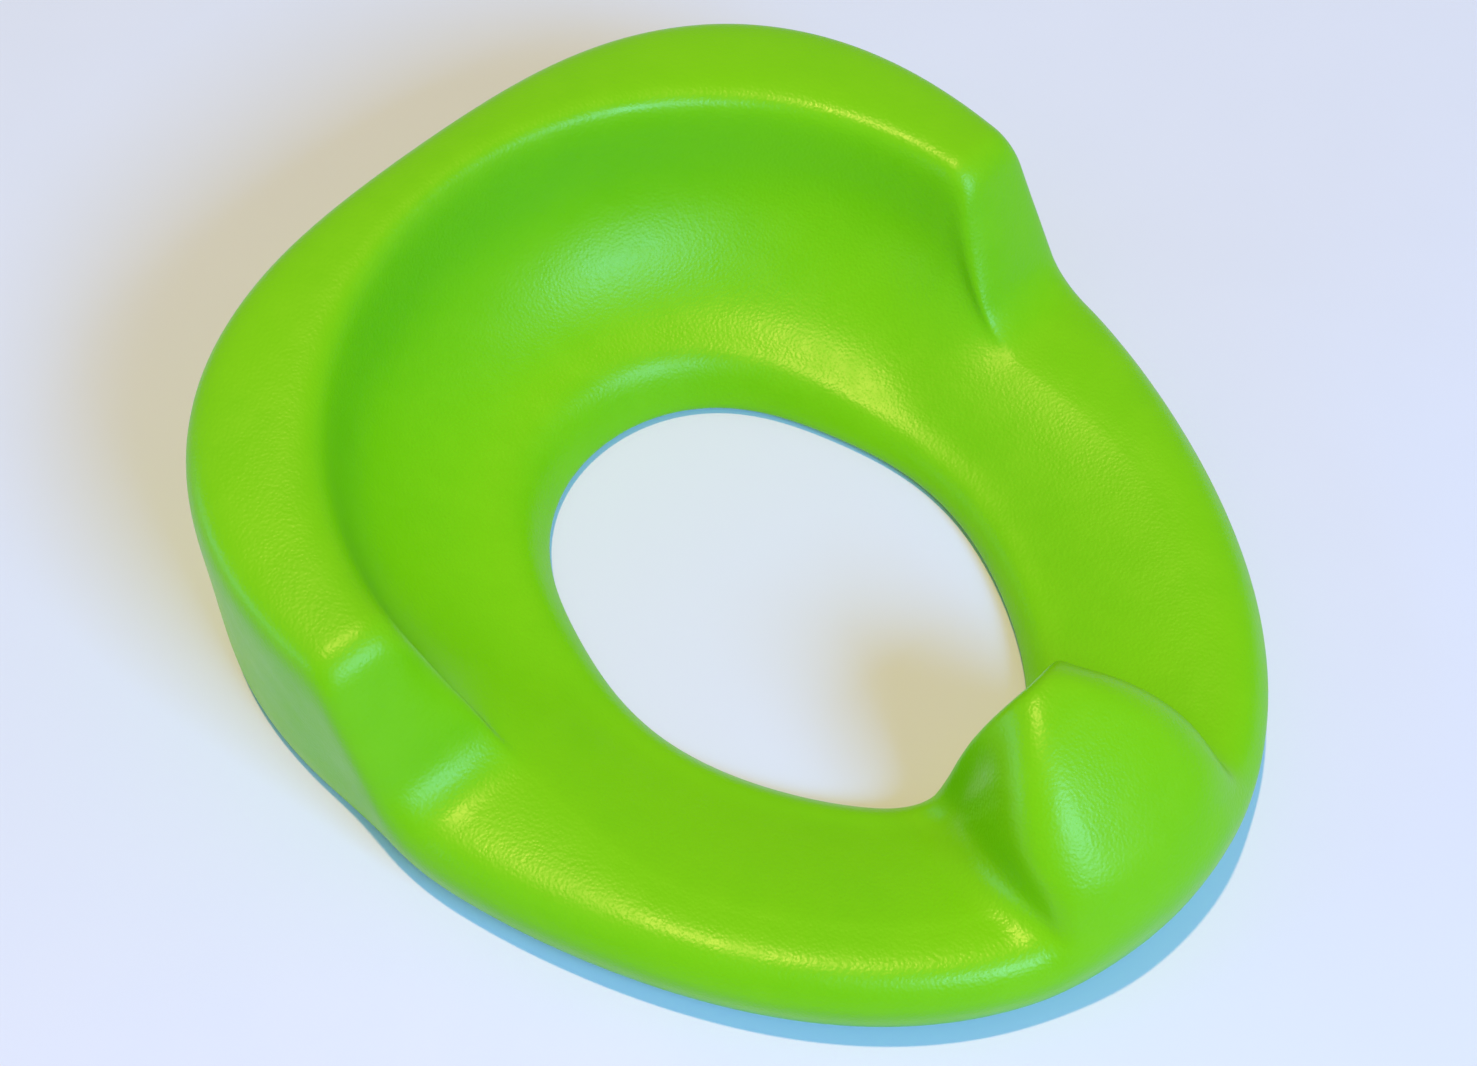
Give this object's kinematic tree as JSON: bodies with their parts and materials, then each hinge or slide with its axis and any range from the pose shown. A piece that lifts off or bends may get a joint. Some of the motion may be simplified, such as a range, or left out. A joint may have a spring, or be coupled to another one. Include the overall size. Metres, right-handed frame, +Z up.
{
  "type": "toddler toilet training seat",
  "caption": "Soft one-piece foam toilet training seat ring with a raised horseshoe back rim, an egg-shaped opening and a splash guard, on a rigid underside ring with rubber feet.",
  "frame": {"origin": "on the plane the feet stand on, below the centre of the seat's bounding box", "axes": "+Z up out of the sitting surface, +Y towards the raised back rim, -Y towards the splash guard, X across the seat, which is symmetric about X = 0"},
  "size_m": [0.3228, 0.358, 0.098],
  "materials": {
    "foam_skin": "satin lime-green polyurethane skin with a fine pebble grain over soft foam",
    "carrier_plastic": "natural off-white moulded polypropylene",
    "underside_plastic": "white moulded polypropylene with a fine spark-eroded texture",
    "screw_steel": "zinc-plated steel",
    "foot_rubber": "matt grey thermoplastic rubber"
  },
  "bodies": {
    "root": {"seat_cushion": "foam_skin", "carrier_plate": "carrier_plastic", "underside_ring": "underside_plastic", "screw_1": "screw_steel", "screw_2": "screw_steel", "screw_3": "screw_steel", "screw_4": "screw_steel", "screw_5": "screw_steel", "screw_6": "screw_steel", "grip_foot_1": "foot_rubber", "grip_foot_2": "foot_rubber", "grip_foot_3": "foot_rubber", "grip_foot_4": "foot_rubber", "grip_foot_5": "foot_rubber", "grip_foot_6": "foot_rubber"}
  },
  "joints": []
}
